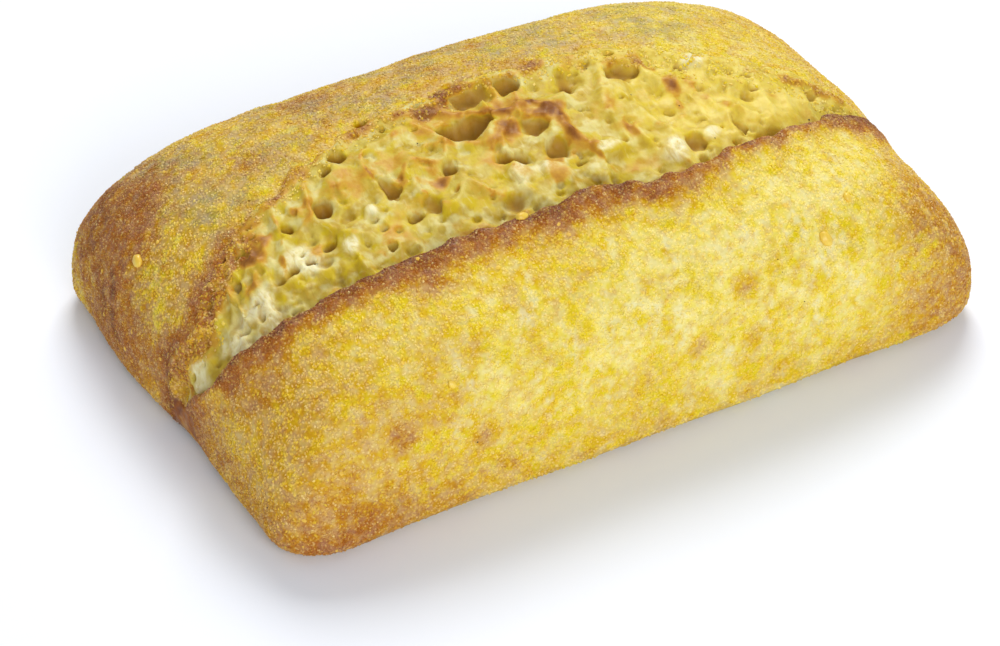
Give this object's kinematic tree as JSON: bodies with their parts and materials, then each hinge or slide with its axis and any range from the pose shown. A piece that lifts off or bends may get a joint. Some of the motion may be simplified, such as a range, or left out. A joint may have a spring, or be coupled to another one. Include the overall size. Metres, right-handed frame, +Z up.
{
  "type": "corn ciabatta roll",
  "caption": "Flat-based, pillow-shaped bread roll with a cornmeal crust, its top torn open lengthwise behind a raised lip.",
  "frame": {"origin": "middle of the base box of the roll, on the surface that it rests on", "axes": "+X along the roll, towards its narrower end; +Y across it, from the lip's side to the back crust; +Z up"},
  "size_m": [0.1454, 0.0922, 0.043],
  "materials": {
    "crust": "matte"
  },
  "bodies": {
    "root": {"ciabatta_roll": "crust"}
  },
  "joints": []
}
